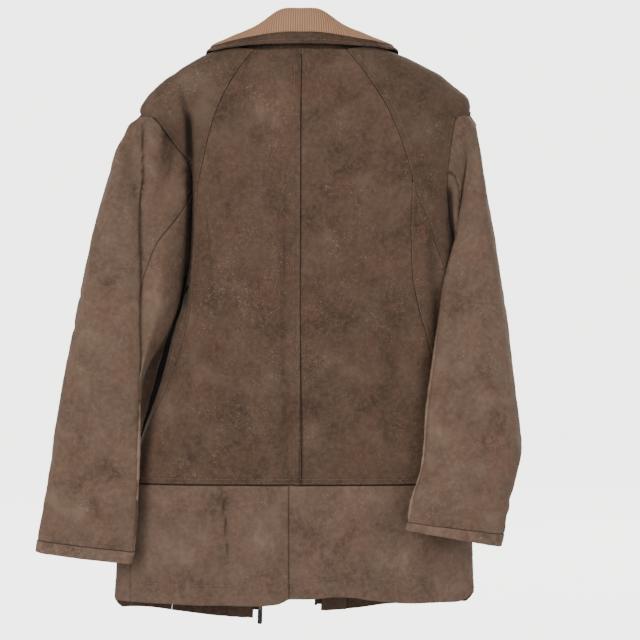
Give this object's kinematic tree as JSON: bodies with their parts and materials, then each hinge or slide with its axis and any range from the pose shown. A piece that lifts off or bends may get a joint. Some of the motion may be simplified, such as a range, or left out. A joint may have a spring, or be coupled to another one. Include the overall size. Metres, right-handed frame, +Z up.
{
  "type": "jacket",
  "caption": "Zip-front leather jacket with a folded corduroy-faced collar, two-piece sleeves and a seamed back, hanging open.",
  "frame": {"origin": "the hanger's seat at the inside back neck", "axes": "+Z up, +Y out of the back, +X to the wearer's left"},
  "size_m": [0.693, 0.1638, 0.893],
  "materials": {
    "leather_body": "matte brushed nubuck, mottled brown",
    "leather_sleeve": "matte brushed nubuck, worn lighter",
    "leather_collar": "matte leather",
    "corduroy": "cotton corduroy, fine vertical wales",
    "lining": "satin lining",
    "label": "woven blank label",
    "pocket_cloth": "plain cotton",
    "zip_tape": "woven tape",
    "zip_metal": "aged",
    "zip_pull": "satin"
  },
  "bodies": {
    "jacket_body": {"back_panel_left": "leather_body", "shoulder_panel_left": "leather_body", "back_side_panel_left": "leather_body", "back_skirt_left": "leather_body", "front_side_panel_left": "leather_body", "side_lining_left": "lining", "back_panel_right": "leather_body", "shoulder_panel_right": "leather_body", "back_side_panel_right": "leather_body", "back_skirt_right": "leather_body", "front_side_panel_right": "leather_body", "side_lining_right": "lining", "back_lining": "lining", "neck_label": "label", "collar_stand": "leather_collar", "collar_leaf": "leather_collar", "collar_corduroy": "corduroy", "hang_loop": "leather_collar"},
    "left_front": {"front_panel_left": "leather_body", "front_facing_left": "leather_body", "front_lining_left": "lining", "zip_tape_left": "zip_tape", "zip_chain_left": "zip_metal", "zip_top_stop_left": "zip_metal", "pocket_welt_left": "leather_body", "pocket_bag_left": "pocket_cloth", "zip_retaining_box": "zip_metal"},
    "right_front": {"front_panel_right": "leather_body", "front_facing_right": "leather_body", "front_lining_right": "lining", "zip_tape_right": "zip_tape", "zip_chain_right": "zip_metal", "zip_top_stop_right": "zip_metal", "pocket_welt_right": "leather_body", "pocket_bag_right": "pocket_cloth", "zip_insert_pin": "zip_metal"},
    "left_sleeve": {"sleeve_upper_left": "leather_sleeve", "sleeve_under_left": "leather_sleeve", "cuff_hem_left": "leather_sleeve", "sleeve_lining_left": "lining"},
    "right_sleeve": {"sleeve_upper_right": "leather_sleeve", "sleeve_under_right": "leather_sleeve", "cuff_hem_right": "leather_sleeve", "sleeve_lining_right": "lining"},
    "zip_slider": {"zip_slider": "zip_metal"},
    "zip_pull": {"zip_pull": "zip_pull"}
  },
  "joints": [
    {"name": "left_front_open", "type": "hinge", "parent": "jacket_body", "child": "left_front", "pos_m": [0.06, -0.06135, -0.068], "axis": [-0.1721, -0.0197, 0.9849], "range_deg": [0, 75]},
    {"name": "right_front_open", "type": "hinge", "parent": "jacket_body", "child": "right_front", "pos_m": [-0.0615, -0.06216, -0.068], "axis": [-0.1581, 0.0197, -0.9872], "range_deg": [0, 75]},
    {"name": "left_sleeve_swing", "type": "hinge", "parent": "jacket_body", "child": "left_sleeve", "pos_m": [0.2289, 0, -0.0931], "axis": [0, -1, 0], "range_deg": [0, 40]},
    {"name": "right_sleeve_swing", "type": "hinge", "parent": "jacket_body", "child": "right_sleeve", "pos_m": [-0.2405, 0, -0.08], "axis": [0, 1, 0], "range_deg": [0, 40]},
    {"name": "zip_slide", "type": "slide", "parent": "left_front", "child": "zip_slider", "axis": [-0.0273, -0.0165, 0.9995], "range_m": [0, 0.7]},
    {"name": "zip_pull_swing", "type": "hinge", "parent": "zip_slider", "child": "zip_pull", "pos_m": [0.06071, -0.05135, -0.81024], "axis": [-0.9996, 0.0005, -0.0273], "range_deg": [0, 165]}
  ]
}
